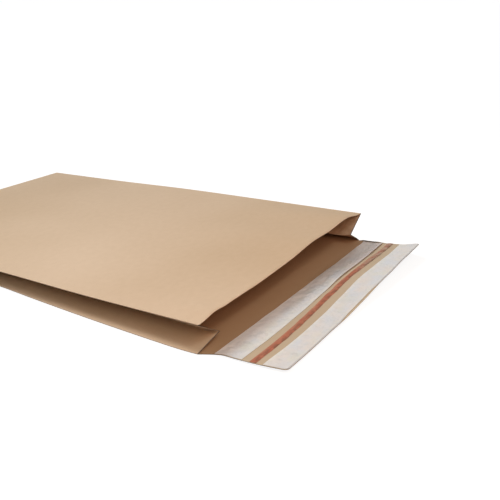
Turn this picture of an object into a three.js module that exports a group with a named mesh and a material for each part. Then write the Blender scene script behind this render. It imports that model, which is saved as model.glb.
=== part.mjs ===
// A gusseted paper mailing bag with a double-seal flap, lying on its back panel with the mouth ajar.
// Millimetres, +Z up. The closed end is at -X, the mouth and the flap are at +X, the near side is at -Y.
// The bag is one flat blank, a grid of rows along its length and columns around its girth. Every grid point
// is folded to its place in space, and the folded sheet is then given its thickness.
import * as THREE from "three";

// The sheet
const PAPER = 0.2;
const FOLD_RADIUS = 0.3;
const GLUE_LINE = 0.05;

// The tube
const BAG_WIDTH = 250;
const BAG_LENGTH = 398;
const GUSSET_LEAF = 25;
const SEAM_SETBACK = 4;

// How far the bag stands open: rise of the front panel's creases above the back panel, how far they are drawn
// in at the mouth, and how far the back panel's creases spread there
const END_RISE = 6.5;
const MOUTH_RISE_NEAR = 21;
const MOUTH_RISE_FAR = 26;
const MOUTH_DRAW_IN = 1;
const LOWER_SPREAD = 1.5;

// Arch of the front panel's edge above its creases, at equal steps from the near side to the far side
const MOUTH_ARCH = [0, 2, 0.9, 1.1, 2.3, 4.7, 4.4, 5.4, 0];
const ARCH_REACH = 170;

// The tab of the front panel that turns under the closed end
const END_TAB = 25;
const TAB_STEP_RUN = 15;

// The flap, in bands from the mouth outwards
const MOUTH_MARGIN = 7;
const INNER_LINER_WIDTH = 20;
const TAPE_GAP = 5;
const TAPE_WIDTH = 5;
const OUTER_LINER_WIDTH = 18;
const FLAP_SHOULDER = 5;
const FLAP_TAPER = 6;
const FLAP_CORNER = 3;

// Lift of the flap's outer edge off the table, at equal steps from the near side to the far side
const FLAP_CURL = [1.5, 0.4, 0, 0.8, 3, 5.2, 7, 8.7, 11];
const CURL_POWER = 0.8;

// What is stuck on the flap
const ADHESIVE = 0.08;
const LINER = 0.1;
const TAPE = 0.1;
const LINER_LIP = 1.5;
const LIP_LIFT = 1.2;

// Fineness of the grid
const PANEL_STEPS = 16;
const CREASE_STEPS = 4;
const BODY_STEPS = 14;
const NOSE_STEPS = 6;
const BAND_STEPS = 2;
const CORNER_STEPS = 3;

// Values that follow from the sizes above
const HALF_WIDTH = BAG_WIDTH / 2;
const LAYER = PAPER + GLUE_LINE;
const NOSE_RADIUS = END_RISE / 2;
const INNER_LINER_START = MOUTH_MARGIN;
const INNER_LINER_END = INNER_LINER_START + INNER_LINER_WIDTH;
const TAPE_START = INNER_LINER_END + TAPE_GAP;
const TAPE_END = TAPE_START + TAPE_WIDTH;
const OUTER_LINER_START = TAPE_END + TAPE_GAP;
const FLAP_LENGTH = OUTER_LINER_START + OUTER_LINER_WIDTH;
const FLAP_CORNER_START = FLAP_LENGTH - FLAP_CORNER;

const { lerp, smoothstep } = THREE.MathUtils;

function steps(from, to, count) {
  return Array.from({ length: count + 1 }, (_, i) => lerp(from, to, i / count));
}

function arc(center, from, to) {
  return steps(from, to, CREASE_STEPS).map(
    (angle) => new THREE.Vector2(Math.cos(angle), Math.sin(angle)).multiplyScalar(FOLD_RADIUS).add(center),
  );
}

// A smooth curve through values that stand at equal steps from share 0 to share 1
function evenSpline(values) {
  const points = values.map((value, i) => new THREE.Vector2(i / (values.length - 1), value));
  const curve = new THREE.SplineCurve(points);
  return (share) => curve.getPoint(share).y;
}

const mouthArch = evenSpline(MOUTH_ARCH);
const flapCurl = evenSpline(FLAP_CURL);

// Height of the back panel, which lies on the end tab near the closed end and on the table elsewhere
function backHeight(along) {
  const tabEnd = NOSE_RADIUS + END_TAB;
  return PAPER / 2 + LAYER * (1 - smoothstep(along, tabEnd, tabEnd + TAB_STEP_RUN));
}

function openShare(along) {
  return (along - NOSE_RADIUS) / (BAG_LENGTH - NOSE_RADIUS);
}

// Unit vector from a crease's centre to the point where a flat leaf leaves it to cross over to another crease
function leafNormal(center, other, turn) {
  const along = other.clone().sub(center);
  const lean = (2 * FOLD_RADIUS) / along.length();
  along.normalize();
  const across = new THREE.Vector2(-along.y, along.x).multiplyScalar(turn);
  return along.multiplyScalar(lean).addScaledVector(across, Math.sqrt(1 - lean ** 2));
}

// One gusset's three creases in a section, as (outward, up) points: lower crease, inner fold, upper crease.
// The far gusset holds the long seam: its lower leaf is two layers that lap, and outerLayer shifts the fold
// outwards by one layer.
function gusset(along, mouthRise, outerLayer) {
  const share = openShare(along);
  const topHeight = PAPER / 2 + lerp(END_RISE, mouthRise, share);
  const spread = LOWER_SPREAD * smoothstep(along, BAG_LENGTH / 2, BAG_LENGTH);
  const lower = new THREE.Vector2(HALF_WIDTH + spread - FOLD_RADIUS, backHeight(along) + FOLD_RADIUS);
  const upper = new THREE.Vector2(HALF_WIDTH - MOUTH_DRAW_IN * share - FOLD_RADIUS, topHeight - FOLD_RADIUS);
  const span = upper.clone().sub(lower);
  const depth = Math.sqrt(GUSSET_LEAF ** 2 + 4 * FOLD_RADIUS ** 2 - span.lengthSq() / 4);
  const inward = new THREE.Vector2(-span.y, span.x).normalize();
  const fold = lower.clone().add(upper).multiplyScalar(0.5).addScaledVector(inward, depth);
  const lowerNormal = leafNormal(lower, fold, -1);
  const leaf = fold.clone().sub(lower).addScaledVector(lowerNormal, -2 * FOLD_RADIUS);
  const lapStart = lower.clone().addScaledVector(lowerNormal, FOLD_RADIUS);
  const lapLength = leaf.length();
  leaf.normalize();
  const innerLapEdge = lapStart.clone().addScaledVector(leaf, lapLength - SEAM_SETBACK);
  const outerLapEdge = lapStart.clone().addScaledVector(leaf, SEAM_SETBACK).addScaledVector(lowerNormal, LAYER);
  if (outerLayer) {
    fold.addScaledVector(lowerNormal, LAYER);
  }
  const upperNormal = leafNormal(upper, fold, 1);
  return {
    lowerCrease: arc(lower, -Math.PI / 2, lowerNormal.angle()),
    innerFold: arc(fold, lowerNormal.angle() - Math.PI, upperNormal.angle() - 3 * Math.PI),
    upperCrease: arc(upper, upperNormal.angle() - 2 * Math.PI, Math.PI / 2),
    innerLapEdge,
    outerLapEdge,
  };
}

function mirrored(points) {
  return points.map((point) => new THREE.Vector2(-point.x, point.y));
}

// Points of a panel between its two creases, leaving out both ends
function panelPoints(from, to, rise) {
  return steps(0, 1, PANEL_STEPS)
    .slice(1, -1)
    .map((share) => from.clone().lerp(to, share).add(new THREE.Vector2(0, rise(share))));
}

// The folded sheet in one cross-section, once around from the seam's inner edge to its outer edge, as runs
// of (across, up) points
function sectionRuns(along) {
  const near = gusset(along, MOUTH_RISE_NEAR, false);
  const far = gusset(along, MOUTH_RISE_FAR, true);
  const nearLower = mirrored(near.lowerCrease);
  const nearUpper = mirrored(near.upperCrease);
  const farLower = far.lowerCrease.toReversed();
  const farUpper = far.upperCrease.toReversed();
  const arch = smoothstep(along, BAG_LENGTH - ARCH_REACH, BAG_LENGTH);
  return {
    seamInner: [far.innerLapEdge],
    farLower,
    back: panelPoints(farLower.at(-1), nearLower[0], () => 0),
    nearLower,
    nearFold: mirrored(near.innerFold),
    nearUpper,
    front: panelPoints(nearUpper.at(-1), farUpper[0], (share) => arch * mouthArch(share)),
    farUpper,
    farFold: far.innerFold.toReversed(),
    seamOuter: [far.outerLapEdge],
  };
}

// First and last column of a panel, with the crease points that bound it
function panelColumns(name) {
  const runs = Object.entries(sectionRuns(BAG_LENGTH));
  const index = runs.findIndex(([run]) => run === name);
  const first = runs.slice(0, index).flatMap(([, points]) => points).length - 1;
  return { first, last: first + PANEL_STEPS };
}

const BACK = panelColumns("back");
const FRONT = panelColumns("front");

function sectionRow(along) {
  const points = Object.values(sectionRuns(along)).flat();
  return points.map((point) => new THREE.Vector3(along - BAG_LENGTH, point.x, point.y));
}

// Rows of the tube, closer together towards the mouth
function bodyRows() {
  const reach = BAG_LENGTH - NOSE_RADIUS;
  const closeness = 1.5;
  return steps(0, 1, BODY_STEPS).map((share) => ({
    first: 0,
    points: sectionRow(BAG_LENGTH - reach * (1 - share) ** closeness),
  }));
}

// Rows of the front panel's end, from the tab's free edge round the nose to the first row of the tube
function endRows() {
  const edge = sectionRow(NOSE_RADIUS).slice(FRONT.first, FRONT.last + 1);
  const low = PAPER / 2;
  const tab = edge.map((point) => new THREE.Vector3(point.x + END_TAB, point.y, low));
  const nose = steps(-Math.PI / 2, Math.PI / 2, NOSE_STEPS)
    .slice(0, -1)
    .map((angle) =>
      edge.map(
        (point) =>
          new THREE.Vector3(
            point.x - NOSE_RADIUS * Math.cos(angle),
            point.y,
            low + NOSE_RADIUS * (1 + Math.sin(angle)),
          ),
      ),
    );
  return [tab, ...nose].map((points) => ({ first: FRONT.first, points }));
}

// How far the flap's side edge lies inside the bag's side at a distance past the mouth
function flapInset(reach) {
  const shoulder = FLAP_SHOULDER * smoothstep(reach, 0, MOUTH_MARGIN);
  const taper = FLAP_TAPER * Math.max(0, (reach - MOUTH_MARGIN) / (FLAP_LENGTH - MOUTH_MARGIN));
  const past = Math.max(0, reach - FLAP_CORNER_START);
  const corner = FLAP_CORNER - Math.sqrt(Math.max(0, FLAP_CORNER ** 2 - past ** 2));
  return shoulder + taper + corner;
}

function flapStations() {
  const corner = steps(0, Math.PI / 2, CORNER_STEPS).map(
    (angle) => FLAP_CORNER_START + FLAP_CORNER * Math.sin(angle),
  );
  return [
    ...steps(0, MOUTH_MARGIN, BAND_STEPS).slice(1, -1),
    INNER_LINER_START,
    ...steps(INNER_LINER_START + LINER_LIP, INNER_LINER_END - LINER_LIP, BAND_STEPS),
    INNER_LINER_END,
    TAPE_START,
    TAPE_END,
    OUTER_LINER_START,
    ...steps(OUTER_LINER_START + LINER_LIP, FLAP_CORNER_START, BAND_STEPS).slice(0, -1),
    ...corner,
  ];
}

// Rows of the flap, which runs on from the back panel
function flapRows() {
  const edge = sectionRow(BAG_LENGTH).slice(BACK.first, BACK.last + 1);
  const halfEdge = edge[0].y;
  return flapStations().map((reach) => ({
    first: BACK.first,
    reach,
    points: edge.map((point, i) => {
      const curl = Math.max(0, flapCurl(1 - i / PANEL_STEPS));
      const lift = curl * (reach / FLAP_LENGTH) ** CURL_POWER;
      const across = point.y * (1 - flapInset(reach) / halfEdge);
      return new THREE.Vector3(point.x + reach, across, point.z + lift);
    }),
  }));
}

// The folded sheet: each row knows its first column, and a cell is paper where both its rows reach it
const sheet = [...endRows(), ...bodyRows(), ...flapRows()];

function pointAt(row, column) {
  return sheet[row].points[column - sheet[row].first];
}

function cellsBetween(firstRow, lastRow) {
  const cells = [];
  for (let row = firstRow; row < lastRow; row += 1) {
    const first = Math.max(sheet[row].first, sheet[row + 1].first);
    const last = Math.min(...[sheet[row], sheet[row + 1]].map((line) => line.first + line.points.length - 1));
    for (let column = first; column < last; column += 1) {
      cells.push({ row, column });
    }
  }
  return cells;
}

// Corners of a cell, in the order that turns round its inner face
function cellCorners({ row, column }) {
  return [
    [row, column],
    [row, column + 1],
    [row + 1, column + 1],
    [row + 1, column],
  ];
}

// Direction from each grid point to the sheet's inner face, long enough to keep the thickness across a crease
function inwardOffsets() {
  const normals = sheet.map((line) => line.points.map(() => []));
  for (const cell of cellsBetween(0, sheet.length - 1)) {
    const corners = cellCorners(cell);
    const [a, b, c, d] = corners.map(([row, column]) => pointAt(row, column));
    const normal = new THREE.Vector3().crossVectors(c.clone().sub(a), d.clone().sub(b)).normalize();
    corners.forEach(([row, column]) => normals[row][column - sheet[row].first].push(normal));
  }
  return normals.map((line) =>
    line.map((around) => {
      const mean = around.reduce((sum, normal) => sum.add(normal), new THREE.Vector3()).normalize();
      const closeness = around.reduce((sum, normal) => sum + normal.dot(mean), 0) / around.length;
      return mean.divideScalar(closeness);
    }),
  );
}

const offsets = inwardOffsets();

// A closed solid over some cells of the sheet, between two heights above its middle on the inner side.
// lift adds to both heights at a row and column.
function layerGeometry(cells, low, high, lift = () => 0) {
  const positions = [];
  const triangles = [];
  const numbers = new Map();
  const edges = new Map();
  const number = ([row, column]) => {
    const key = `${row} ${column}`;
    if (!numbers.has(key)) {
      numbers.set(key, positions.length / 3);
      const point = pointAt(row, column);
      const offset = offsets[row][column - sheet[row].first];
      for (const height of [low, high]) {
        const placed = point.clone().addScaledVector(offset, height + lift(row, column));
        positions.push(placed.x, placed.y, placed.z);
      }
    }
    return numbers.get(key);
  };
  for (const cell of cells) {
    const [a, b, c, d] = cellCorners(cell).map(number);
    triangles.push(a + 1, b + 1, c + 1, a + 1, c + 1, d + 1, a, c, b, a, d, c);
    for (const [from, to] of [[a, b], [b, c], [c, d], [d, a]]) {
      if (!edges.delete(`${to} ${from}`)) {
        edges.set(`${from} ${to}`, [from, to]);
      }
    }
  }
  for (const [from, to] of edges.values()) {
    triangles.push(from, to, to + 1, from, to + 1, from + 1);
  }
  const geometry = new THREE.BufferGeometry();
  geometry.setAttribute("position", new THREE.Float32BufferAttribute(positions, 3));
  geometry.setIndex(triangles);
  geometry.computeVertexNormals();
  return geometry;
}

function flapRow(reach) {
  return sheet.findIndex((line) => line.reach === reach);
}

function bandGeometry(from, to, low, thickness, lift) {
  return layerGeometry(cellsBetween(flapRow(from), flapRow(to)), low, low + thickness, lift);
}

const bag = new THREE.Group();

function addPiece(name, geometry, color, roughness) {
  const mesh = new THREE.Mesh(geometry, new THREE.MeshStandardMaterial({ color, roughness, metalness: 0 }));
  mesh.name = name;
  bag.add(mesh);
}

const KRAFT = 0xc9a988;
const GLUE = 0xd9d2b8;
const LINER_WHITE = 0xe4e2df;
const TAPE_RED = 0xb4553f;

const STUCK = PAPER / 2 + GLUE_LINE;
const COVERING = STUCK + ADHESIVE + GLUE_LINE;

// The inner liner's free lip stands up along the far half of the flap
function lipLift(row, column) {
  if (sheet[row].reach !== INNER_LINER_END) {
    return 0;
  }
  const across = pointAt(row, column).y / HALF_WIDTH;
  return LIP_LIFT * smoothstep(across, 0, 1 / 3);
}

addPiece("bag", layerGeometry(cellsBetween(0, sheet.length - 1), -PAPER / 2, PAPER / 2), KRAFT, 0.85);
addPiece(
  "inner_adhesive_band",
  bandGeometry(INNER_LINER_START + LINER_LIP, INNER_LINER_END - LINER_LIP, STUCK, ADHESIVE),
  GLUE,
  0.4,
);
addPiece(
  "inner_release_liner",
  bandGeometry(INNER_LINER_START, INNER_LINER_END, COVERING, LINER, lipLift),
  LINER_WHITE,
  0.45,
);
addPiece("tear_tape", bandGeometry(TAPE_START, TAPE_END, STUCK, TAPE), TAPE_RED, 0.5);
addPiece(
  "outer_adhesive_band",
  bandGeometry(OUTER_LINER_START + LINER_LIP, FLAP_CORNER_START, STUCK, ADHESIVE),
  GLUE,
  0.4,
);
addPiece(
  "outer_release_liner",
  bandGeometry(OUTER_LINER_START, FLAP_LENGTH, COVERING, LINER),
  LINER_WHITE,
  0.45,
);

// The origin is the bottom centre of the whole part
const box = new THREE.Box3().setFromObject(bag);
const middle = box.getCenter(new THREE.Vector3());
bag.position.set(-middle.x, -middle.y, -box.min.z);

export default bag;
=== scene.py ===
import math
from functools import partial

import bmesh
import bpy
from bpy.props import FloatProperty, FloatVectorProperty, PointerProperty
from bpy.types import Operator, Panel, PropertyGroup
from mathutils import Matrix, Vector, noise


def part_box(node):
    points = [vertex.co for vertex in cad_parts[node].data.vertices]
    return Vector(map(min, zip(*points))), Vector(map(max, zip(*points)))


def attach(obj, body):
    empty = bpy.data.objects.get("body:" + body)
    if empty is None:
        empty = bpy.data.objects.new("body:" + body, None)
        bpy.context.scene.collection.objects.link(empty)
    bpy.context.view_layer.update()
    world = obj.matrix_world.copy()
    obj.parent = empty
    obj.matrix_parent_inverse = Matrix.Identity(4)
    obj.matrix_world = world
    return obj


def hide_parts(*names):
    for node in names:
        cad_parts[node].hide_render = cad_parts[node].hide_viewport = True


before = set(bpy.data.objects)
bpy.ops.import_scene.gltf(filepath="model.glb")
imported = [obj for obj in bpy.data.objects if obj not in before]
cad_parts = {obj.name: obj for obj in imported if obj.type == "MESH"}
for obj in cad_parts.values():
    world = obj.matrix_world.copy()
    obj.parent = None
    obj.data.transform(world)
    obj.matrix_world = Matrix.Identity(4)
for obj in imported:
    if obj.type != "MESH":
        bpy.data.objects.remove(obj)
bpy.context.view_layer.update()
BAG_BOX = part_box("bag")

bl_info = {
    "name": "Paper mailing bag",
    "version": (1, 0, 0),
    "blender": (4, 5, 0),
    "location": "View3D > Sidebar > Mailing bag",
    "description": "Folds a gusseted paper mailing bag and lays the strips on its sealing flap",
    "category": "Add Mesh",
}

# Fineness of the folded sheet and of the strips
CREASE_STEPS = 6
LEAF_STEPS = 8
PANEL_STEPS = 72
TAB_STEPS = 8
NOSE_STEPS = 12
TUBE_STEPS = 92
EDGE_STEPS = 5
FLAP_STEPS = 44
CORNER_STEPS = 6
STRIP_STEPS = 120
BAND_STEPS = 10

# How strongly the tube's rows crowd towards the mouth, and the columns towards the creases
ROW_CROWDING = 1.3
COLUMN_CROWDING = 0.8

# Name of the flat sheet's coordinates, and where the closed end lies along them
FLAT = "Flat"
FLAT_START = 0.1

# Places of the two sides in the sizes that are given for both
NEAR, FAR = 0, 1

# Middle and half width of the front edge's hump, and widths of the borders in which the front panel's cockle
# and its rolled edge fade out, as shares of the panel's width
HUMP_MIDDLE = 0.065
HUMP_HALF = 0.06
COCKLE_BORDER = 0.12
ROLL_BORDER = 0.05

# Where the cockle starts along the bag, the share of quick waves in it, and the reach of the edge's waves
COCKLE_START = (0.02, 0.12)
QUICK_SHARE = 0.25
WAVE_REACH = 0.03

# Distances past the mouth between which the flap's far side gets bare, and gets covered again
FAR_BARE_START = (0, 0.006)
FAR_BARE_END = (0.018, 0.03)

# Where the flap leaves the table, as shares of its length, where its far side's lift takes over, as shares of
# its width, and the lift at which it ripples in full
LIFT_START = (0, 0.25)
FAR_LIFT_START = (0.65, 0.95)
RIPPLE_LIFT = 0.002

# Reach of the wear beside a crease, how steeply the painted shade on the gussets' cut edges fades, and how
# much of the painted shade on the flap's sides is gone at its outer edge
WEAR_REACH = 0.0009
EDGE_SHADE_STEEPNESS = 1.6
EDGE_SHADE_FADE = 0.5

# Where the bare patch along the flap's outer edge starts and ends, as shares of the flap's width
BARE_START = (0.3, 0.4)
BARE_END = (0.54, 0.64)

# The inner liner: unevenness of its edge, where its lip comes loose, mean and swing of the lip's waves, the
# lip's width in free borders, where the painted shade on its far end starts, how dark that gets, and how
# strong the painted bounce light by the mouth is
LINER_UNEVENNESS = 0.0004
LIP_START = (0.3, 0.75)
LIP_MEAN = 0.75
LIP_SWING = 0.5
LIP_BORDERS = 2.5
FAR_SHADE_START = (0.5, 0.85)
FAR_SHADE_MOST = 0.85
BOUNCE_LIGHT_SHARE = 0.8

# Distances from the outer liner's outer edge between which painted shade greys it
CUT_SHADE = (0.0013, 0.0008)

# The tape: unevenness of its edges, where its worn end starts, and height and mean of the crinkles there
TAPE_UNEVENNESS = 0.0003
TAPE_WORN_START = (0.66, 0.78)
CRINKLE_HEIGHT = 0.0005
CRINKLE_MEAN = 0.6

# Distances past the mouth between which the painted shade of the paper inside the bag gives way to the flap's
# own tones
FLAP_TONE_START = (0.008, 0.022)

# Random unevenness: waves per unit of a first and a second measure, and two numbers that pick the pattern
SLOW_COCKLE = (9, 14, 0, 3.1)
QUICK_COCKLE = (26, 30, 0, 7.7)
EDGE_WAVES = (45, 0, 2.3, 0)
FLAP_RIPPLES = (38, 16, 0, 1.7)
LINER_WAVES = (17, 0, 0, 2.9)
LIP_WAVES = (11, 0, 0.4, 5.2)
TAPE_INNER_WAVES = (26, 0, 0, 8.1)
TAPE_OUTER_WAVES = (26, 0, 0, 5.6)
TAPE_CRINKLES = (32, 300, 0, 4.4)

# The floor: half its size, its depth below the bag, its grey for carried light and for the eye, and its glow
FLOOR_HALF = 30
FLOOR_DROP = 0.0002
FLOOR_CARRIED = (0.1, 0.1, 0.1, 1)
FLOOR_SHOWN = (0.25, 0.25, 0.25, 1)
FLOOR_GLOW = 0.88
WHITE = (1, 1, 1, 1)

# Direction that the key light comes from, and place, target, width and tint of each soft lamp
KEY_PLACE = (-0.64, 0.05, 0.71)
LAMPS = {
    "top": ((-0.12, -0.16, 0.4), (-0.1, -0.1, 0), 0.3, (1, 1, 1)),
    "mouth": ((0.68, -0.28, 0.32), (0.17, 0, 0.01), 0.5, (1, 0.6, 0.42)),
    "front": ((0.66, -0.2, 0.93), (0.17, 0, 0.01), 0.2, (1, 0.955, 0.9)),
    "side": ((0.42, -0.5, 0.42), (0.17, 0, 0.01), 0.2, (1, 0.88, 0.68)),
}

# Tint of the light from all around, and its strength at the horizon and overhead as shares of the setting
SURROUND_TINT = (1, 0.95, 0.87, 1)
HORIZON_SHARE = 0.08
OVERHEAD_SHARE = 1.6

# Sockets of a node that blends two colours
MIX_SHARE, MIX_FIRST, MIX_SECOND, MIX_RESULT = 0, 6, 7, 2

# Straight stretches of the girth, once around from the inner edge of the long seam to its outer edge:
# far lower leaf, back panel, near lower leaf, near upper leaf, front panel, far upper leaf, far lower leaf
FLAT_STEPS = (LEAF_STEPS, PANEL_STEPS, LEAF_STEPS, LEAF_STEPS, PANEL_STEPS, LEAF_STEPS, LEAF_STEPS)
FRONT_FLAT = 4
BACK_FIRST = LEAF_STEPS + CREASE_STEPS
BACK_LAST = BACK_FIRST + PANEL_STEPS
FRONT_FIRST = BACK_LAST + 3 * CREASE_STEPS + 2 * LEAF_STEPS
FRONT_LAST = FRONT_FIRST + PANEL_STEPS
COLUMNS = FRONT_LAST + 2 * CREASE_STEPS + 2 * LEAF_STEPS


def number(name, description, default, **kind):
    return FloatProperty(name=name, description=description, default=default, **kind)


def vector(name, description, default, **kind):
    return FloatVectorProperty(name=name, description=description, default=default, size=len(default), **kind)


def size(name, description, default):
    return number(name, description, default, unit="LENGTH", precision=5)


def sizes(name, description, default):
    return vector(name, description, default, unit="LENGTH", precision=5)


def colour(name, description, default):
    return vector(name, description, default, subtype="COLOR")


class BagSizes(PropertyGroup):
    """Sizes of the folded sheet."""

    paper: size("Paper", "Thickness of the kraft sheet", 0.0002)
    fold_radius: size("Fold radius", "Radius of a pressed crease", 0.0003)
    glue_line: size("Glue line", "Gap between glued layers", 0.00005)
    width: size("Width", "Width of the flat bag", 0.25)
    length: size("Length", "Length from the closed end to the mouth", 0.398)
    gusset_leaf: size("Gusset leaf", "Depth of one leaf of a side gusset", 0.025)
    seam_setback: size("Seam setback", "Distance of the seam's edges from the creases", 0.004)
    end_rise: size("End rise", "Height of the front panel at the closed end", 0.0056)
    mouth_rise: sizes("Mouth rise", "Heights of the near and far upper crease at the mouth", (0.021, 0.026))
    near_bow: sizes(
        "Near bow", "Bow of the near upper crease, end to mouth", (0, 0.0002, 0.0006, -0.0006, -0.0002)
    )
    far_bow: sizes(
        "Far bow", "Bow of the far upper crease, end to mouth", (0, 0.0001, 0.001, 0.0004, -0.0003)
    )
    mouth_draw_in: size("Mouth draw-in", "How far the upper creases are drawn in at the mouth", 0.001)
    lower_spread: sizes(
        "Lower spread",
        "Spread of the lower creases past the flat bag, end to mouth",
        (0, -0.0003, -0.0009, -0.0013, -0.0014, 0.0004, 0.0016, 0.002, 0.0018),
    )
    lower_draw_in: sizes(
        "Lower draw-in", "How far the near and far lower crease draw in right at the mouth", (0.0014, 0.004)
    )
    draw_in_reach: size("Draw-in reach", "Reach of that draw-in from the mouth", 0.03)
    fold_out: sizes("Fold out", "How far the near and the far inner fold move out at the mouth", (0, 0.0031))
    fold_sag: sizes("Fold sag", "How far the near and the far inner fold sink at the mouth", (0.0026, 0.0029))
    fold_reach: size("Fold reach", "Reach of the folds' moves from the mouth", 0.09)
    mouth_arch: sizes(
        "Mouth arch",
        "Arch of the front panel's edge above its creases, near to far",
        (0, 0.0012, 0.0009, 0.0013, 0.0023, 0.0047, 0.0044, 0.0054, 0),
    )
    arch_reach: size("Arch reach", "Reach of the arch from the mouth", 0.17)
    hump: size("Hump", "Height of the front edge's hump by its near corner", 0.0015)
    hump_reach: size("Hump reach", "Reach of the hump from the mouth", 0.05)
    end_tab: size("End tab", "Length of the tab glued under the closed end", 0.025)
    tab_step_run: size("Tab step", "Run over which the back panel comes down off the tab", 0.015)
    cockle: size("Cockle", "Height of the slow waves in the front panel", 0.0005)
    edge_wave: size("Edge wave", "Height of the waves along the front panel's edge", 0.0003)
    edge_roll: size("Edge roll", "How far the front panel's cut edge rolls down", 0.0006)
    roll_reach: size("Roll reach", "Width of the rolled edge", 0.0016)
    # How far the painted light on the far gusset's upper leaf reaches from the mouth
    painted_light_reach: size("Rub reach", "Depth of the rub on the far gusset's upper leaf", 0.035)


class FlapSizes(PropertyGroup):
    """Sizes of the sealing flap and of the strips on it."""

    length: size("Length", "Length of the flap past the mouth", 0.06)
    inner_liner: sizes("Inner liner", "Start and end of the inner liner past the mouth", (0.0085, 0.0283))
    inner_skew: sizes(
        "Inner liner skew",
        "Wander of the inner liner's edge by the mouth, near to far",
        (0.0001, 0.0001, 0, 0, -0.0002, -0.0004, -0.0005, -0.0016, -0.0023),
    )
    outer_liner: sizes("Outer liner", "Start and end of the outer liner past the mouth", (0.043, 0.0598))
    inner_wander: sizes(
        "Inner liner wander",
        "Wander of the inner liner's outer edge, near to far",
        (0, 0.0004, 0.0002, -0.0006, -0.0012, -0.0013, -0.0011, -0.002, -0.0034),
    )
    outer_wander: sizes(
        "Outer liner wander",
        "Wander of the outer liner's inner edge, near to far",
        (0.0002, 0.0011, 0.0013, 0.0001, -0.001, -0.0016, -0.0012, -0.001, -0.0018),
    )
    tape_width: size("Tear tape", "Width of the tear tape", 0.0047)
    tape_path: sizes(
        "Tape path",
        "Middle of the tear tape past the mouth, near to far",
        (0.0362, 0.0364, 0.0358, 0.0339, 0.0325, 0.0323, 0.0326, 0.0327, 0.0325),
    )
    shoulder: sizes("Shoulder", "Steps of the flap's near and far side by the mouth", (0.0066, 0.0018))
    shoulder_run: size("Shoulder run", "Length of that step along the flap", 0.016)
    shoulder_power: number("Shoulder power", "How early a side steps in", 1.6)
    taper: sizes("Taper", "How far the near and far side run in from there on", (0.0042, 0.0051))
    taper_power: number("Taper power", "How late a side runs in", 2.2)
    corner: size("Corner", "Radius of the outer corners", 0.003)
    curl: sizes(
        "Curl",
        "Lift of the outer edge off the table, near to far",
        (0.0017, 0.0018, 0.0019, 0.0023, 0.0044, 0.0067, 0.0085, 0.01, 0.0107),
    )
    curl_power: number("Curl power", "How late the flap lifts", 0.8)
    far_lift: vector("Far lift", "Shares of the far side's lift, mouth to edge", (0, 0.12, 0.32, 0.57, 1))
    upturn: size("Upturn", "Height of the far side's upturned edge", 0.0012)
    upturn_width: size("Upturn width", "Width of that upturned edge", 0.003)
    ripple: size("Ripple", "Height of the small waves where the flap is off the table", 0.0005)
    adhesive: size("Adhesive", "Thickness of a glue band", 0.00008)
    liner: size("Liner", "Thickness of a release liner", 0.0001)
    tape: size("Tape", "Thickness of the tear tape", 0.0001)
    liner_lip: size("Liner lip", "Free border of a liner beside its glue band", 0.0015)
    lip_lift: size("Lip lift", "Height of the inner liner's loose lip in the far half", 0.001)
    strip_inset: size("Strip inset", "Bare paper edge at the ends of the strips", 0.0007)
    bare_width: size("Bare width", "Width of the bare patch along the outer edge", 0.0015)
    inner_inset: size("Inner inset", "Bare paper edge at the inner liner's far end", 0.002)


class BagFinish(PropertyGroup):
    """Colours of the papers, the tape and the glue."""

    # The pale tone also carries part of a painted sheen on the front panel, where the large clouds are placed
    # over it
    kraft_light: colour("Kraft light", "Pale clouds on the paper's outer side", (0.718, 0.562, 0.411))
    kraft_dark: colour("Kraft dark", "Dark clouds on the paper's outer side", (0.567, 0.415, 0.266))
    # The inside tones are a darker, redder painted-shade copy of the flap's tones, for the paper inside the
    # bag
    inside_shaded_pale: colour("Inside light", "Pale clouds on the paper's inner side", (0.51, 0.334, 0.2))
    inside_shaded_dark: colour("Inside dark", "Dark clouds on the paper's inner side", (0.428, 0.266, 0.15))
    flap_light: colour("Flap light", "Pale clouds on the flap's upper side", (0.568, 0.457, 0.325))
    flap_dark: colour("Flap dark", "Dark clouds on the flap's upper side", (0.477, 0.378, 0.264))
    kraft_fleck: colour("Kraft fleck", "Dark specks of bark in the paper", (0.3, 0.19, 0.11))
    # Painted shade: near-black on the gussets' cut edges at the mouth, on the flap's cut sides and beside the
    # inner liner's far end
    kraft_edge_shade: colour("Kraft soiled", "Dark cut sides of the flap", (0.09, 0.075, 0.065))
    # Rubbed creases, and painted light by the mouth on the front panel's edge and the far gusset's upper leaf
    kraft_rub_and_light: colour("Kraft rubbed", "Rubbed paper on the creases", (0.74, 0.57, 0.42))
    liner_warm: colour("Liner warm", "Warm tint of the liners", (0.72, 0.69, 0.66))
    liner_cool: colour("Liner cool", "Cool tint of the liners", (0.66, 0.69, 0.73))
    liner_sallow: colour("Liner sallow", "Sallow tint of the liners", (0.685, 0.695, 0.625))
    liner_border: colour("Liner border", "Pale borders of the liners", (0.79, 0.78, 0.72))
    # Painted bounce light on the inner liner's half by the mouth
    liner_bounce_light: colour("Liner blush", "Blush of the inner liner by the mouth", (0.85, 0.785, 0.76))
    # Painted shade on the inner liner's far end
    liner_far_shade: colour("Liner dull", "Duller tone of the inner liner's loose end", (0.56, 0.48, 0.45))
    # Painted shade on the outer liner's cut edge
    liner_cut_shade: colour("Liner cut", "Grey cut edge of the outer liner", (0.54, 0.545, 0.555))
    tape_red: colour("Tape red", "Full colour of the tear tape", (0.37, 0.092, 0.046))
    tape_faded: colour("Tape faded", "Faded patches of the tear tape", (0.44, 0.18, 0.105))
    tape_pale: colour("Tape pale", "Pale side of the tear tape", (0.55, 0.27, 0.17))
    tape_rubbed: colour("Tape rubbed", "Rubbed-through places of the tear tape", (0.37, 0.26, 0.175))
    tape_dull: colour("Tape dull", "Scuffed outer side of the tear tape", (0.21, 0.085, 0.046))
    glue_clear: colour("Glue clear", "Thin places of the glue bands", (0.69, 0.65, 0.48))
    glue_thick: colour("Glue thick", "Thick places of the glue bands", (0.8, 0.77, 0.62))


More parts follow.
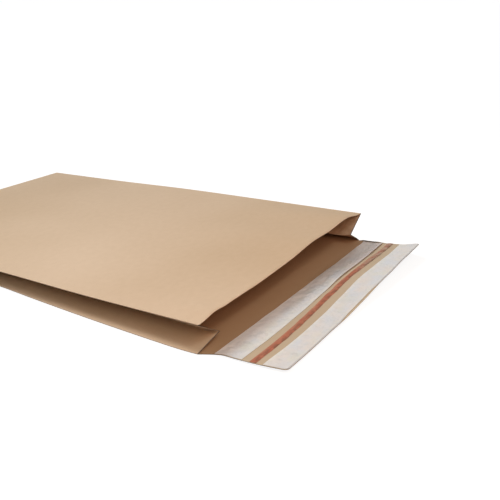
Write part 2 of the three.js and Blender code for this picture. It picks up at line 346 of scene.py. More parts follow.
class StageSettings(PropertyGroup):
    """Camera and light."""

    camera_place: sizes("Camera", "Place of the camera", (0.4126, -0.4445, 0.23025))
    camera_yaw: number("Yaw", "Heading of the camera, from +X towards +Y", 2.1394, subtype="ANGLE")
    camera_pitch: number("Pitch", "How far the camera looks down", 0.3752, subtype="ANGLE")
    lens: number("Lens", "Focal length in millimetres", 50.88)
    key_strength: number("Key", "Strength of the soft key light", 1.38)
    key_softness: number("Key softness", "Angle that the key light fills", math.radians(16), subtype="ANGLE")
    top_power: number("Top light", "Power of the soft light above the bag", 0.44, subtype="POWER")
    mouth_power: number("Mouth light", "Power of the low light in front of the mouth", 1.55, subtype="POWER")
    front_power: number("Front light", "Power of the high light in front of the mouth", 1.42, subtype="POWER")
    side_power: number("Side light", "Power of the small light beside the mouth", 0.43, subtype="POWER")
    surround: number("Surround", "Strength of the light from all around", 0.178)


def sizes_in(scene):
    """Sizes of the bag, and of its flap and strips."""
    return scene.mailing_bag, scene.sealing_flap


def smoothstep(value, low, high):
    share = min(1.0, max(0.0, (value - low) / (high - low)))
    return share * share * (3 - 2 * share)


def lerp(low, high, share):
    return low + (high - low) * share


def steps(low, high, count):
    return [lerp(low, high, step / count) for step in range(count + 1)]


def even_curve(values, share):
    """Value at a share of a smooth curve through values that stand at equal steps."""
    last = len(values) - 1
    first = min(int(share * last), last - 1)
    along = share * last - first
    before, low, high, after = (values[min(max(first + step, 0), last)] for step in (-1, 0, 1, 2))
    low_slope = (high - before) / 2
    high_slope = (after - low) / 2
    cubic = 2 * low - 2 * high + low_slope + high_slope
    square = 3 * high - 3 * low - 2 * low_slope - high_slope
    return ((cubic * along + square) * along + low_slope) * along + low


def uneven(pattern, first, second=0):
    """Random unevenness, from -1 to 1, of a pattern at two measures."""
    first_scale, second_scale, row, layer = pattern
    return noise.noise(Vector((first * first_scale, second * second_scale + row, layer)))


def turn_of(direction):
    """Angle of a direction in a section, from 0 to a full turn."""
    return math.atan2(-direction.y, -direction.x) + math.pi


def crease(center, start, end, radius):
    turns = steps(start, end, CREASE_STEPS)
    return [center + radius * Vector((math.cos(turn), math.sin(turn))) for turn in turns]


def leaf_normal(center, other, turn, radius):
    """Unit vector from a crease's centre to where a flat leaf leaves it to cross over to another crease."""
    along = other - center
    lean = 2 * radius / along.length
    along = along.normalized()
    return along * lean + Vector((-along.y, along.x)) * turn * math.sqrt(1 - lean * lean)


def back_height(bag, along):
    """Height of the back panel, which lies on the end tab by the closed end and on the table elsewhere."""
    tab_end = bag.end_rise / 2 + bag.end_tab
    layer = bag.paper + bag.glue_line
    return bag.paper / 2 + layer * (1 - smoothstep(along, tab_end, tab_end + bag.tab_step_run))


def lower_half(bag, along, side):
    """Distance from the middle of the bag to one side's lower crease, which draws in at the mouth."""
    gather = max(0, 1 - (bag.length - along) / bag.draw_in_reach)
    spread = even_curve(bag.lower_spread, along / bag.length) - bag.lower_draw_in[side] * gather**3
    return bag.width / 2 + spread - bag.fold_radius


def gusset(bag, along, side):
    """Creases of one side's gusset in a section, as (outward, up) points. The far gusset's lower leaf holds
    the long seam, two layers that lap, so its inner fold lies out by one layer."""
    radius = bag.fold_radius
    nose = bag.end_rise / 2
    share = (along - nose) / (bag.length - nose)
    bow = even_curve((bag.near_bow, bag.far_bow)[side], share)
    top = bag.paper / 2 + lerp(bag.end_rise, bag.mouth_rise[side], share) + bow
    lower = Vector((lower_half(bag, along, side), back_height(bag, along) + radius))
    upper = Vector((bag.width / 2 - bag.mouth_draw_in * share - radius, top - radius))
    span = upper - lower
    depth = math.sqrt(bag.gusset_leaf**2 + 4 * radius**2 - span.length_squared / 4)
    fold = (lower + upper) / 2 + depth * Vector((-span.y, span.x)).normalized()
    by_mouth = smoothstep(along, bag.length - bag.fold_reach, bag.length)
    fold += by_mouth * Vector((bag.fold_out[side], -bag.fold_sag[side]))
    lower_normal = leaf_normal(lower, fold, -1, radius)
    leaf = fold - lower - 2 * radius * lower_normal
    setback = bag.seam_setback * leaf.normalized()
    lap_start = lower + radius * lower_normal
    layer = (bag.paper + bag.glue_line) * lower_normal
    if side == FAR:
        fold = fold + layer
    upper_normal = leaf_normal(upper, fold, 1, radius)
    return {
        "lower": crease(lower, -math.pi / 2, turn_of(lower_normal), radius),
        "fold": crease(fold, turn_of(lower_normal) - math.pi, turn_of(upper_normal) - 3 * math.pi, radius),
        "upper": crease(upper, turn_of(upper_normal) - 2 * math.pi, math.pi / 2, radius),
        "inner_lap": lap_start + leaf - setback,
        "outer_lap": lap_start + setback + layer,
    }


def mirrored(points):
    return [Vector((-point.x, point.y)) for point in points]


def flat_shares(count):
    """Shares along a flat stretch, closer together beside its creases."""
    turn = 2 * math.pi
    return [share - COLUMN_CROWDING * math.sin(turn * share) / turn for share in steps(0, 1, count)]


def front_rise(bag, along, share, across):
    """Height of the front panel above the straight line between its creases."""
    arch = even_curve(bag.mouth_arch, share) * smoothstep(along, bag.length - bag.arch_reach, bag.length)
    hump = bag.hump * (1 - smoothstep(abs(share - HUMP_MIDDLE), 0, HUMP_HALF))
    arch += hump * smoothstep(along, bag.length - bag.hump_reach, bag.length)
    border = min(share, 1 - share)
    left = bag.length - along
    slow = uneven(SLOW_COCKLE, along, across)
    quick = uneven(QUICK_COCKLE, along, across)
    cockle = bag.cockle * smoothstep(along, *COCKLE_START) * (slow + QUICK_SHARE * quick)
    wave = bag.edge_wave * uneven(EDGE_WAVES, across) * max(0, 1 - left / WAVE_REACH) ** 2
    roll = bag.edge_roll * smoothstep(border, 0, ROLL_BORDER) * max(0, 1 - left / bag.roll_reach) ** 2
    return arch + smoothstep(border, 0, COCKLE_BORDER) * (cockle + wave) - roll


def girth_line(bag, along):
    """The folded sheet in one cross-section, as (across, up) points once around its girth."""
    near = gusset(bag, along, NEAR)
    far = gusset(bag, along, FAR)
    turns = [
        far["lower"][::-1],
        mirrored(near["lower"]),
        mirrored(near["fold"]),
        mirrored(near["upper"]),
        far["upper"][::-1],
        far["fold"][::-1],
        [far["outer_lap"]],
    ]
    points = [far["inner_lap"]]
    for stretch, (turn, count) in enumerate(zip(turns, FLAT_STEPS)):
        start, end = points[-1], turn[0]
        for share in flat_shares(count)[1:-1]:
            point = start.lerp(end, share)
            if stretch == FRONT_FLAT:
                point.y += front_rise(bag, along, share, point.x)
            points.append(point)
        points += turn
    return points


def flap_half(bag, flap, reach, side):
    """Distance from the middle of the bag to one side of the flap at a distance past the mouth."""
    left = max(0, 1 - reach / flap.shoulder_run)
    shoulder = flap.shoulder[side] * (1 - left**flap.shoulder_power)
    run = max(0, (reach - flap.shoulder_run) / (flap.length - flap.shoulder_run))
    past = max(0, reach - (flap.length - flap.corner))
    corner = flap.corner - math.sqrt(max(0, flap.corner**2 - past**2))
    return lower_half(bag, bag.length, side) - shoulder - flap.taper[side] * run**flap.taper_power - corner


def mouth_place(flap):
    """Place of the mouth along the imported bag."""
    return BAG_BOX[1].x - flap.length


def far_bare(reach):
    """How bare the flap's far side is at a distance past the mouth: 1 beside the inner liner."""
    return smoothstep(reach, *FAR_BARE_START) * (1 - smoothstep(reach, *FAR_BARE_END))


def flap_point(bag, flap, share, reach):
    """Middle of the flap's paper at a share of the way from the near side to the far side and a distance past
    the mouth."""
    far_half = flap_half(bag, flap, reach, FAR)
    across = lerp(-flap_half(bag, flap, reach, NEAR), far_half, share)
    run = reach / flap.length
    early = run**flap.curl_power * smoothstep(run, *LIFT_START)
    late = even_curve(flap.far_lift, min(run, 1))
    lift = max(0, even_curve(flap.curl, share)) * lerp(early, late, smoothstep(share, *FAR_LIFT_START))
    ripple = flap.ripple * min(1, lift / RIPPLE_LIFT) * uneven(FLAP_RIPPLES, across, reach)
    upturn = flap.upturn * (1 - smoothstep(far_half - across, 0, flap.upturn_width)) * far_bare(reach)
    height = back_height(bag, bag.length) + lift + ripple + upturn
    return Vector((mouth_place(flap) + reach, across, height))


def flap_normal(bag, flap, share, reach):
    """Upward direction off the flap's paper."""
    small = 0.0005
    low_share, high_share = max(0, share - small), min(1, share + small)
    low_reach, high_reach = max(0, reach - small), reach + small
    across = flap_point(bag, flap, high_share, reach) - flap_point(bag, flap, low_share, reach)
    along = flap_point(bag, flap, share, high_reach) - flap_point(bag, flap, share, low_reach)
    along.y = 0
    return along.cross(across).normalized()


def blank_stations(bag, flap):
    """Rows of the blank by their distance along the bag: tab, nose, tube and flap. The tab and the nose of
    the front panel count backwards from the tube's first row."""
    nose = bag.end_rise / 2
    straight = flap.length - flap.corner
    rolled = bag.length - bag.roll_reach
    tab = steps(nose - math.pi * nose - bag.end_tab, nose - math.pi * nose, TAB_STEPS)
    round_end = steps(nose - math.pi * nose, nose, NOSE_STEPS)
    body = [rolled - (rolled - nose) * (1 - share) ** ROW_CROWDING for share in steps(0, 1, TUBE_STEPS)]
    edge = steps(rolled, bag.length, EDGE_STEPS)
    reach = steps(0, straight, FLAP_STEPS) + [
        straight + flap.corner * math.sin(turn) for turn in steps(0, math.pi / 2, CORNER_STEPS)[1:]
    ]
    return tab + round_end[1:-1] + body + edge[1:] + [bag.length + distance for distance in reach[1:]]


def blank_row(bag, flap, station):
    """First column of a row of the blank and the folded places of its points."""
    nose = bag.end_rise / 2
    start = mouth_place(flap) - bag.length
    if station < nose:
        edge = girth_line(bag, nose)[FRONT_FIRST : FRONT_LAST + 1]
        bend = min((nose - station) / nose, math.pi)
        under = nose - station - bend * nose
        along = nose - nose * math.sin(bend) + under
        height = bag.paper / 2 + nose * (1 + math.cos(bend))
        return FRONT_FIRST, [Vector((start + along, point.x, height)) for point in edge]
    if station <= bag.length:
        return 0, [Vector((start + station, point.x, point.y)) for point in girth_line(bag, station)]
    shares = flat_shares(PANEL_STEPS)[::-1]
    return BACK_FIRST, [flap_point(bag, flap, share, station - bag.length) for share in shares]


def girth_distances(bag):
    """Distance of each column from the blank's first edge, measured round the mouth."""
    points = girth_line(bag, bag.length)
    distances = [0.0]
    for before, point in zip(points, points[1:]):
        distances.append(distances[-1] + (point - before).length)
    return distances


def crease_wear(distances):
    """How worn each column is: 1 on a crease, fading out beside it."""
    middles = []
    column = 0
    for count in FLAT_STEPS[:-1]:
        column += count
        middles.append(distances[column + CREASE_STEPS // 2])
        column += CREASE_STEPS
    nearest = [min(abs(middle - distance) for middle in middles) for distance in distances]
    return [max(0.0, 1 - distance / WEAR_REACH) for distance in nearest]


def painted_edge_shade(bag, flap, column, station):
    """How much painted shade darkens the paper: 1 on the gussets' cut edges at the mouth, on the flap's cut
    sides and beside the inner liner's far end, less towards the flap's outer edge."""
    reach = station - bag.length
    if reach > 0:
        bare = far_bare(reach)
        shaded = {BACK_FIRST: 1, BACK_FIRST + 1: bare, BACK_FIRST + 2: bare, BACK_LAST: 1}
        return (1 - EDGE_SHADE_FADE * reach / flap.length) * shaded.get(column, 0)
    if BACK_FIRST <= column <= BACK_LAST or FRONT_FIRST <= column <= FRONT_LAST:
        return 0.0
    return max(0.0, 1 + EDGE_SHADE_STEEPNESS * reach / bag.roll_reach)


def mouth_painted_light(bag, column, station):
    """How much painted light brightens the paper by the mouth, on the front panel's edge and on the far
    gusset's upper leaf.
    """
    left = bag.length - station
    if FRONT_FIRST <= column <= FRONT_LAST:
        return 1 - left / bag.roll_reach
    if FRONT_LAST < column <= FRONT_LAST + CREASE_STEPS + LEAF_STEPS:
        return 1 - left / bag.painted_light_reach
    return 0.0


def flat_grid(columns, rows):
    """A flat grid with layers for its flat coordinates, for wear with painted light and shade, and for
    painted shade, and each vertex's column and row.
    """
    mesh = bmesh.new()
    mesh.loops.layers.uv.new(FLAT)
    mesh.verts.layers.float.new("wear")
    mesh.verts.layers.float.new("soil")
    bmesh.ops.create_grid(mesh, x_segments=columns, y_segments=rows, size=0.5)
    numbers = {}
    for vertex in mesh.verts:
        x, y, _ = vertex.co
        numbers[vertex] = (round((x + 0.5) * columns), round((y + 0.5) * rows))
    return mesh, numbers


def finish_piece(mesh, flat_places, name, thickness, materials, node):
    """Makes an object of a thin sheet, gives it its flat coordinates and thickness and lets it stand for a
    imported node. A second material goes on the sheet's back."""
    flat = mesh.loops.layers.uv[FLAT]
    for face in mesh.faces:
        face.smooth = True
        for loop in face.loops:
            loop[flat].uv = flat_places[loop.vert]
    for edge in mesh.edges:
        edge.smooth = not edge.is_boundary
    mesh.normal_update()
    data = bpy.data.meshes.new(name)
    mesh.to_mesh(data)
    mesh.free()
    for material in materials:
        data.materials.append(material)
    piece = bpy.data.objects.new(name, data)
    bpy.context.scene.collection.objects.link(piece)
    wall = piece.modifiers.new("Thickness", "SOLIDIFY")
    wall.thickness = thickness
    wall.offset = 0
    wall.use_even_offset = True
    wall.use_quality_normals = True
    wall.material_offset = len(materials) - 1
    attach(piece, "root")
    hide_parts(node)


def inner_edges(flap, share):
    """Distances past the mouth at which the inner liner starts and ends."""
    start, end = flap.inner_liner
    start += even_curve(flap.inner_skew, share) + LINER_UNEVENNESS * uneven(LINER_WAVES, share)
    return start, end + even_curve(flap.inner_wander, share)


def bare_edge(share):
    """How bare the flap's outer edge is: 1 where the outer liner stops short of it."""
    return smoothstep(share, *BARE_START) * (1 - smoothstep(share, *BARE_END))


def outer_edges(flap, share):
    """Distances past the mouth at which the outer liner starts and ends."""
    start, end = flap.outer_liner
    return start + even_curve(flap.outer_wander, share), end - flap.bare_width * bare_edge(share)


def lay_strip(
    context, name, edges, low, thickness, material, slot, lift=None, worn=None, shaded=None, far_inset=None
):
    """Lays a strip across the flap, low above the middle of its paper. At a share of the way from the near to
    the far side, edges gives the distances past the mouth at which it starts and ends, worn how worn it is
    (on the outer liner: where painted shade greys its cut edge), shaded how much painted shade darkens it,
    and lift how far it stands off the flap. far_inset is for a strip that ends further inside the far side
    than the others. Its flat coordinates run from 0 to 1 across it."""
    bag, flap = sizes_in(context.scene)
    mesh, numbers = flat_grid(STRIP_STEPS, BAND_STEPS)
    wear = mesh.verts.layers.float["wear"]
    soil = mesh.verts.layers.float["soil"]
    near_end = flap.strip_inset / bag.width
    far_end = 1 - (far_inset or flap.strip_inset) / bag.width
    flat_places = {}
    for vertex, (column, row) in numbers.items():
        share = lerp(near_end, far_end, column / STRIP_STEPS)
        start, end = edges(share)
        reach = lerp(start, end, row / BAND_STEPS)
        height = low + thickness / 2
        if lift:
            height += lift(share, reach)
        vertex.co = flap_point(bag, flap, share, reach) + height * flap_normal(bag, flap, share, reach)
        vertex[wear] = worn(share) if worn else 0.0
        vertex[soil] = shaded(share) if shaded else 0.0
        flat_places[vertex] = (share * bag.width, row / BAND_STEPS)
    finish_piece(mesh, flat_places, name, thickness, [material], name.removesuffix("_strip"))


def add_node(tree, kind, inputs=None, **settings):
    """Adds a shader node, with its settings, and links or sets its inputs."""
    node = tree.nodes.new("ShaderNode" + kind)
    for setting, value in settings.items():
        setattr(node, setting, value)
    for socket, value in (inputs or {}).items():
        if isinstance(value, bpy.types.NodeSocket):
            tree.links.new(value, node.inputs[socket])
        else:
            node.inputs[socket].default_value = value
    return node


def new_finish(name):
    """A material with one surface shader, its node tree and that shader."""
    material = bpy.data.materials.new(name)
    material.use_nodes = True
    tree = material.node_tree
    return material, tree, tree.nodes["Principled BSDF"]


def mottle(tree, scale, detail, roughness=0.5, shift=(0, 0, 0)):
    """A soft random pattern on the flat sheet, from 0 to 1. scale is its fineness in the flat coordinates."""
    coordinates = add_node(tree, "UVMap", uv_map=FLAT).outputs["UV"]
    mapping = add_node(tree, "Mapping", {"Vector": coordinates, "Scale": scale, "Location": shift})
    place = mapping.outputs["Vector"]
    texture = add_node(
        tree, "TexNoise", {"Vector": place, "Scale": 1.0, "Detail": detail, "Roughness": roughness}
    )
    return texture.outputs["Fac"]


def flat_rows(tree):
    """The second flat coordinate: the distance along the bag's sheet, or the share of the way out across a
    strip."""
    coordinates = add_node(tree, "UVMap", uv_map=FLAT).outputs["UV"]
    return add_node(tree, "SeparateXYZ", {"Vector": coordinates}).outputs["Y"]


def painted(tree, layer):
    """One of the layers that a mesh carries on its vertices: wear with painted light and shade, and painted
    shade.
    """
    return add_node(tree, "Attribute", attribute_name=layer).outputs["Fac"]


def spread(tree, value, low, high, to_low=0, to_high=1):
    """Stretches a pattern's range to another one."""
    ends = {"From Min": low, "From Max": high, "To Min": to_low, "To Max": to_high}
    return add_node(tree, "MapRange", {"Value": value, **ends}).outputs["Result"]


def reckon(tree, operation, first, second):
    return add_node(tree, "Math", {0: first, 1: second}, operation=operation).outputs["Value"]


def times(tree, first, second):
    return reckon(tree, "MULTIPLY", first, second)


def plus(tree, first, second):
    return reckon(tree, "ADD", first, second)


def blend(tree, share, first, second):
    """Blends from a first to a second colour, each a colour setting or a node's output."""
    ends = [each if isinstance(each, bpy.types.NodeSocket) else (*each, 1.0) for each in (first, second)]
    sockets = {MIX_SHARE: share, MIX_FIRST: ends[0], MIX_SECOND: ends[1]}
    return add_node(tree, "Mix", sockets, data_type="RGBA").outputs[MIX_RESULT]


def dress(tree, shader, tone, roughness, relief, strength, depth, gloss=0.5):
    """Gives a surface its colour, its roughness, a small relief of some strength and depth, and its gloss."""
    bump = add_node(tree, "Bump", {"Height": relief, "Strength": strength, "Distance": depth})
    tree.links.new(tone, shader.inputs["Base Color"])
    tree.links.new(roughness, shader.inputs["Roughness"])
    tree.links.new(bump.outputs["Normal"], shader.inputs["Normal"])
    shader.inputs["Specular IOR Level"].default_value = gloss


def kraft_paper(name, paper_tones, flap_tones, finish, mouth):
    """Uncoated brown kraft: clouds, placed so that their pale patch also paints a broad sheen on the front
    panel, formation flocs, fibres along the sheet, specks of bark, worn creases, painted light by the mouth
    and painted shade on cut edges. It has a dark and a light tone, and others on the flap, past the mouth's
    place along the flat sheet; on the inner side the tones before the flap are a darker painted-shade copy."""
    material, tree, shader = new_finish(name)
    # Random clouds of tone, placed so that their pale patch also paints the front panel's broad sheen
    clouds_and_sheen = mottle(tree, (4, 4, 4), 2, 0.45, (11.93, 1.48, 0))
    flocs = mottle(tree, (150, 190, 150), 3)
    fibres = mottle(tree, (2200, 260, 2200), 2)
    specks = mottle(tree, (1500, 900, 1500), 1)
    tone = spread(tree, clouds_and_sheen, 0.31, 0.71, 0, 0.85)
    tone = plus(tree, tone, spread(tree, flocs, 0.25, 0.75, 0, 0.17))
    tone = plus(tree, tone, spread(tree, fibres, 0.25, 0.75, 0, 0.13))
    paper = blend(tree, tone, *paper_tones)
    flap = blend(tree, tone, *flap_tones)
    flap_start, flap_full = (mouth + distance for distance in FLAP_TONE_START)
    paper = blend(tree, spread(tree, flat_rows(tree), flap_start, flap_full), paper, flap)
    paper = blend(tree, spread(tree, specks, 0.73, 0.8, 0, 0.6), paper, finish.kraft_fleck)
    # Rubbed creases, and painted light by the mouth on the front panel's edge and the far gusset's upper leaf
    rub_and_light = times(tree, painted(tree, "wear"), spread(tree, flocs, 0.35, 0.7, 0.3, 0.9))
    paper = blend(tree, rub_and_light, paper, finish.kraft_rub_and_light)
    # Painted shade darkens the cut edges and the bare strip beside the inner liner's far end
    paper = blend(tree, painted(tree, "soil"), paper, finish.kraft_edge_shade)
    relief = plus(tree, *(times(tree, part, 0.5) for part in (flocs, fibres)))
    dress(tree, shader, paper, spread(tree, fibres, 0.3, 0.7, 0.7, 0.85), relief, 0.25, 0.0004, 0.3)
    return material


def liner_paper(finish, name, width, bounce_light):
    """Silicone-coated white release paper: a faint mottle of tints, pale borders, painted bounce light of
    some strength on its half by the mouth, soft crinkles, a low gloss, and painted shade: grey on its cut
    edge and darker on its outer half, each where the strip carries it."""
    material, tree, shader = new_finish(name)
    tint = mottle(tree, (42, 60 * width, 42), 3)
    sallow = mottle(tree, (60, 90 * width, 60), 2, 0.5, (7.3, 2.1, 0))
    crinkle = mottle(tree, (110, 150 * width, 110), 3)
    grain = mottle(tree, (900, 900 * width, 900), 2)
    paper = blend(tree, spread(tree, tint, 0.38, 0.62), finish.liner_warm, finish.liner_cool)
    paper = blend(tree, spread(tree, sallow, 0.48, 0.7, 0, 0.6), paper, finish.liner_sallow)
    across = flat_rows(tree)
    border = reckon(tree, "ABSOLUTE", reckon(tree, "SUBTRACT", across, 0.5), 0.0)
    paper = blend(tree, spread(tree, border, 0.3, 0.48, 0, 0.45), paper, finish.liner_border)
    # Painted bounce light, paler and warmer, on the half by the mouth
    paper = blend(tree, spread(tree, across, 0.2, 0.6, bounce_light, 0), paper, finish.liner_bounce_light)
    grey_start, grey_full = (1 - distance / width for distance in CUT_SHADE)
    # Painted shade greys the cut edge
    cut_shade = times(tree, painted(tree, "wear"), spread(tree, across, grey_start, grey_full))
    paper = blend(tree, cut_shade, paper, finish.liner_cut_shade)
    # Painted shade darkens the outer half where the strip carries it
    dull = times(tree, painted(tree, "soil"), spread(tree, across, 0.42, 0.85))
    paper = blend(tree, dull, paper, finish.liner_far_shade)
    relief = plus(tree, crinkle, times(tree, grain, 0.03))
    dress(tree, shader, paper, spread(tree, grain, 0.3, 0.7, 0.38, 0.52), relief, 1.0, 0.002)
    return material


def tear_tape_film(finish, width):
    """Red film tape: filaments along it, paler towards the mouth, darker at its outer edge, scuffs, and
    rubbed down to the paper's colour where it is worn."""
    material, tree, shader = new_finish("tear_tape_film")
    filaments = mottle(tree, (60, 2600 * width, 60), 2)
    fade = mottle(tree, (90, 240 * width, 90), 4, 0.65)
    scuffs = mottle(tree, (170, 330 * width, 170), 3, 0.6, (3.7, 1.9, 0))
    worn = spread(tree, fade, 0.4, 0.62, 0, 0.7)
    worn = plus(tree, worn, spread(tree, filaments, 0.3, 0.7, 0, 0.2))
    film = blend(tree, worn, finish.tape_red, finish.tape_faded)
    across = flat_rows(tree)
    pale = spread(tree, across, 0, 0.45, 0.8, 0)
    pale = times(tree, pale, spread(tree, fade, 0.35, 0.6, 0.2, 1))
    film = blend(tree, pale, film, finish.tape_pale)
    dull = spread(tree, across, 0.2, 0.8, 0.25, 0.95)
    dull = times(tree, dull, spread(tree, scuffs, 0.42, 0.57))
    film = blend(tree, dull, film, finish.tape_dull)
    rubbed = times(tree, painted(tree, "wear"), spread(tree, scuffs, 0.4, 0.56, 0.95, 0.1))
    film = blend(tree, rubbed, film, finish.tape_rubbed)
    dress(tree, shader, film, spread(tree, fade, 0.3, 0.7, 0.45, 0.65), filaments, 0.3, 0.0002, 0.3)
    return material


def glue_film(finish):
    """Pale hot-melt glue: streaks along the band and a tacky gloss."""
    material, tree, shader = new_finish("glue_film")
    streaks = mottle(tree, (40, 12, 40), 3)
    glue = blend(tree, spread(tree, streaks, 0.3, 0.7), finish.glue_clear, finish.glue_thick)
    dress(tree, shader, glue, spread(tree, streaks, 0.3, 0.7, 0.2, 0.4), streaks, 0.4, 0.0002)
    return material


class MAILER_OT_fold_bag(Operator):
    """Cut the kraft blank out of a flat grid, fold it to the bag and give it its thickness"""

    bl_idname = "mailer.fold_bag"
    bl_label = "Fold the bag"

    def execute(self, context):
        bag, flap = sizes_in(context.scene)
        stations = blank_stations(bag, flap)
        rows = [blank_row(bag, flap, station) for station in stations]
        mesh, numbers = flat_grid(COLUMNS, len(rows) - 1)
        waste = []
        for face in mesh.faces:
            cells = [numbers[vertex] for vertex in face.verts]
            if not all(rows[row][0] <= column < rows[row][0] + len(rows[row][1]) for column, row in cells):
                waste.append(face)
        bmesh.ops.delete(mesh, geom=waste, context="FACES")
        wear = mesh.verts.layers.float["wear"]
        soil = mesh.verts.layers.float["soil"]
        distances = girth_distances(bag)
        worn = crease_wear(distances)
        flat_places = {}
        for vertex in mesh.verts:
            column, row = numbers[vertex]
            first, points = rows[row]
            vertex.co = points[column - first]
            # Crease wear, and painted light on the front panel's edge and the far gusset's upper leaf by the
            # mouth
            rub_and_light = max(worn[column], mouth_painted_light(bag, column, stations[row]))
            vertex[wear] = rub_and_light if stations[row] <= bag.length else 0.0
            # Painted shade on the cut edges and beside the inner liner's far end
            vertex[soil] = painted_edge_shade(bag, flap, column, stations[row])
            flat_places[vertex] = (distances[column], stations[row] + FLAT_START)
        finish = context.scene.bag_finish
        mouth = bag.length + FLAT_START
        outer_tones = (finish.kraft_dark, finish.kraft_light)
        # Inside the bag the inner side gets a darker painted-shade copy of the flap's tones
        shaded_inner_tones = (finish.inside_shaded_dark, finish.inside_shaded_pale)
        flap_tones = (finish.flap_dark, finish.flap_light)
        outside = kraft_paper("kraft_outside", outer_tones, outer_tones, finish, mouth)
        inside = kraft_paper("kraft_inside", shaded_inner_tones, flap_tones, finish, mouth)
        finish_piece(mesh, flat_places, "kraft_bag", bag.paper, [inside, outside], "bag")
        return {"FINISHED"}


class MAILER_OT_lay_glue(Operator):
    """Lay the two glue bands on the flap"""

    bl_idname = "mailer.lay_glue"
    bl_label = "Lay the glue bands"

    def execute(self, context):
        bag, flap = sizes_in(context.scene)
        material = glue_film(context.scene.bag_finish)
        low = bag.paper / 2 + bag.glue_line
        for name, liner_edges, far_inset in (
            ("inner_adhesive_band_strip", inner_edges, flap.inner_inset),
            ("outer_adhesive_band_strip", outer_edges, flap.strip_inset),
        ):

            def edges(share):
                start, end = liner_edges(flap, share)
                return start + flap.liner_lip, end - flap.liner_lip

            lay_strip(context, name, edges, low, flap.adhesive, material, "adhesive", far_inset=far_inset)
        return {"FINISHED"}


class MAILER_OT_lay_liners(Operator):
    """Lay the two release liners over the glue bands"""

    bl_idname = "mailer.lay_liners"
    bl_label = "Lay the release liners"

    def execute(self, context):
        bag, flap = sizes_in(context.scene)
        finish = context.scene.bag_finish
        low = bag.paper / 2 + bag.glue_line + flap.adhesive + bag.glue_line

        def loose_lip(share, reach):
            end = inner_edges(flap, share)[1]
            loose = smoothstep(share, *LIP_START)
            wave = LIP_MEAN + LIP_SWING * uneven(LIP_WAVES, share)
            return flap.lip_lift * loose * wave * smoothstep(reach, end - LIP_BORDERS * flap.liner_lip, end)

        # Painted shade on the inner liner's far end, stronger towards the far side
        def painted_far_shade(share):
            return FAR_SHADE_MOST * smoothstep(share, *FAR_SHADE_START)

        # Painted shade greys the outer liner's cut edge wherever the liner reaches the flap's edge
        def cut_edge_shade(share):
            return 1 - bare_edge(share)

        for name, liner_edges, bounce_light, looks in (
            ("inner_release_liner", inner_edges, BOUNCE_LIGHT_SHARE, (loose_lip, None, painted_far_shade, flap.inner_inset)),
            ("outer_release_liner", outer_edges, 0, (None, cut_edge_shade, None, flap.strip_inset)),
        ):
            edges = partial(liner_edges, flap)
            start, end = edges(0.5)
            paper = liner_paper(finish, name + "_paper", end - start, bounce_light)
            lay_strip(context, name + "_strip", edges, low, flap.liner, paper, "liner", *looks)
        return {"FINISHED"}


class MAILER_OT_lay_tape(Operator):
    """Lay the tear tape between the two liners"""

    bl_idname = "mailer.lay_tape"
    bl_label = "Lay the tear tape"

    def execute(self, context):
        bag, flap = sizes_in(context.scene)
        film = tear_tape_film(context.scene.bag_finish, flap.tape_width)

        def edges(share):
            middle = even_curve(flap.tape_path, share)
            inward = flap.tape_width / 2 + TAPE_UNEVENNESS * uneven(TAPE_INNER_WAVES, share)
            outward = flap.tape_width / 2 + TAPE_UNEVENNESS * uneven(TAPE_OUTER_WAVES, share)
            return middle - inward, middle + outward

        def worn(share):
            return smoothstep(share, *TAPE_WORN_START)

        def crinkle(share, reach):
            return CRINKLE_HEIGHT * worn(share) * (CRINKLE_MEAN + uneven(TAPE_CRINKLES, share, reach))

        low = bag.paper / 2 + bag.glue_line
        lay_strip(context, "tear_tape_strip", edges, low, flap.tape, film, "tape", crinkle, worn)
        return {"FINISHED"}


def stage_surface(tree, output, carried, shown):
    """Joins two shaders: one for rays that carry the stage's light, and one for rays that show the stage
    itself, straight or in a gloss."""
    path = add_node(tree, "LightPath")
    gloss = reckon(tree, "MAXIMUM", path.outputs["Is Glossy Ray"], path.outputs["Is Transmission Ray"])
    seen = reckon(tree, "MAXIMUM", path.outputs["Is Camera Ray"], gloss)
    surface = add_node(tree, "MixShader", {0: seen, 1: carried, 2: shown})
    add_node(tree, output, {"Surface": surface.outputs["Shader"]})


def floor_finish():
    """A pale floor that looks white and keeps the bag's shadow."""
    material = bpy.data.materials.new("pale_floor")
    material.use_nodes = True
    tree = material.node_tree
    tree.nodes.clear()
    carried = add_node(tree, "BsdfDiffuse", {"Color": FLOOR_CARRIED}).outputs["BSDF"]
    shown = add_node(tree, "BsdfDiffuse", {"Color": FLOOR_SHOWN}).outputs["BSDF"]
    glow = add_node(tree, "Emission", {"Color": WHITE, "Strength": FLOOR_GLOW}).outputs["Emission"]
    lit = add_node(tree, "AddShader", {0: shown, 1: glow}).outputs["Shader"]
    stage_surface(tree, "OutputMaterial", carried, lit)
    return material


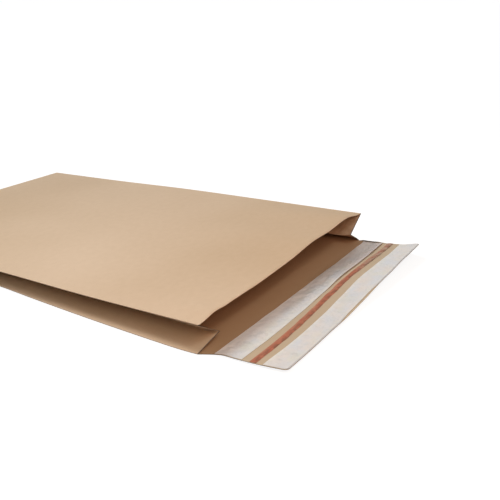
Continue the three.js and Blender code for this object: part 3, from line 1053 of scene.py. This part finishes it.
class MAILER_OT_set_stage(Operator):
    """Set the floor, the lights and the camera"""

    bl_idname = "mailer.set_stage"
    bl_label = "Set the stage"

    def execute(self, context):
        stage = context.scene.bag_stage
        self.lay_floor(context)
        self.hang_lights(context, stage)
        self.place_camera(context, stage)
        context.scene.view_settings.view_transform = "Standard"
        return {"FINISHED"}

    def lay_floor(self, context):
        mesh = bmesh.new()
        bmesh.ops.create_grid(mesh, x_segments=1, y_segments=1, size=FLOOR_HALF)
        bmesh.ops.translate(mesh, verts=mesh.verts, vec=(0, 0, -FLOOR_DROP))
        data = bpy.data.meshes.new("floor")
        mesh.to_mesh(data)
        mesh.free()
        data.materials.append(floor_finish())
        floor = bpy.data.objects.new("floor", data)
        context.scene.collection.objects.link(floor)

    def hang_lights(self, context, stage):
        key = self.hang(context, "key", "SUN", stage.key_strength, KEY_PLACE, (0, 0, 0))
        key.angle = stage.key_softness
        for name, (place, target, width, tint) in LAMPS.items():
            lamp = self.hang(context, name, "AREA", getattr(stage, name + "_power"), place, target)
            lamp.size = width
            lamp.color = tint
        world = bpy.data.worlds.new("studio")
        context.scene.world = world
        world.use_nodes = True
        tree = world.node_tree
        tree.nodes.clear()
        direction = add_node(tree, "TexCoord").outputs["Generated"]
        height = add_node(tree, "SeparateXYZ", {"Vector": direction}).outputs["Z"]
        fade = spread(tree, height, 0, 1, HORIZON_SHARE * stage.surround, OVERHEAD_SHARE * stage.surround)
        fill = add_node(tree, "Background", {"Color": SURROUND_TINT, "Strength": fade})
        backdrop = add_node(tree, "Background", {"Color": WHITE, "Strength": 1.0})
        stage_surface(tree, "OutputWorld", fill.outputs["Background"], backdrop.outputs["Background"])

    def hang(self, context, name, kind, strength, place, target):
        data = bpy.data.lights.new(name, kind)
        data.energy = strength
        lamp = self.aim(context, name, data, place, Vector(target) - Vector(place))
        lamp.visible_camera = False
        return data

    def place_camera(self, context, stage):
        data = bpy.data.cameras.new("camera")
        data.lens = stage.lens
        data.sensor_width = 36
        data.clip_start = 0.01
        data.clip_end = 100
        yaw = stage.camera_yaw
        pitch = stage.camera_pitch
        level = math.cos(pitch)
        ahead = Vector((math.cos(yaw) * level, math.sin(yaw) * level, -math.sin(pitch)))
        context.scene.camera = self.aim(context, "camera", data, stage.camera_place, ahead)

    def aim(self, context, name, data, place, ahead):
        """Makes an object of a lamp or a camera at a place, and turns it to look ahead."""
        thing = bpy.data.objects.new(name, data)
        thing.location = place
        thing.rotation_mode = "QUATERNION"
        thing.rotation_quaternion = ahead.to_track_quat("-Z", "Y")
        context.scene.collection.objects.link(thing)
        return thing


class MAILER_PT_bag(Panel):
    """Steps that make the mailing bag"""

    bl_idname = "MAILER_PT_bag"
    bl_label = "Mailing bag"
    bl_space_type = "VIEW_3D"
    bl_region_type = "UI"
    bl_category = "Mailing bag"

    def draw(self, context):
        for step in STEPS:
            self.layout.operator(step.bl_idname)
        for group in GROUPS:
            box = self.layout.box()
            settings = getattr(context.scene, group)
            for name in settings.__annotations__:
                box.prop(settings, name)


STEPS = (
    MAILER_OT_set_stage,
    MAILER_OT_fold_bag,
    MAILER_OT_lay_glue,
    MAILER_OT_lay_liners,
    MAILER_OT_lay_tape,
)
GROUPS = {
    "mailing_bag": BagSizes,
    "sealing_flap": FlapSizes,
    "bag_finish": BagFinish,
    "bag_stage": StageSettings,
}
CLASSES = (*GROUPS.values(), *STEPS, MAILER_PT_bag)


def register():
    for each in CLASSES:
        bpy.utils.register_class(each)
    for name, group in GROUPS.items():
        setattr(bpy.types.Scene, name, PointerProperty(type=group))


def unregister():
    for name in GROUPS:
        delattr(bpy.types.Scene, name)
    for each in reversed(CLASSES):
        bpy.utils.unregister_class(each)


def main():
    register()
    bpy.ops.mailer.set_stage()
    bpy.ops.mailer.fold_bag()
    bpy.ops.mailer.lay_glue()
    bpy.ops.mailer.lay_liners()
    bpy.ops.mailer.lay_tape()


if __name__ == "__main__":
    main()
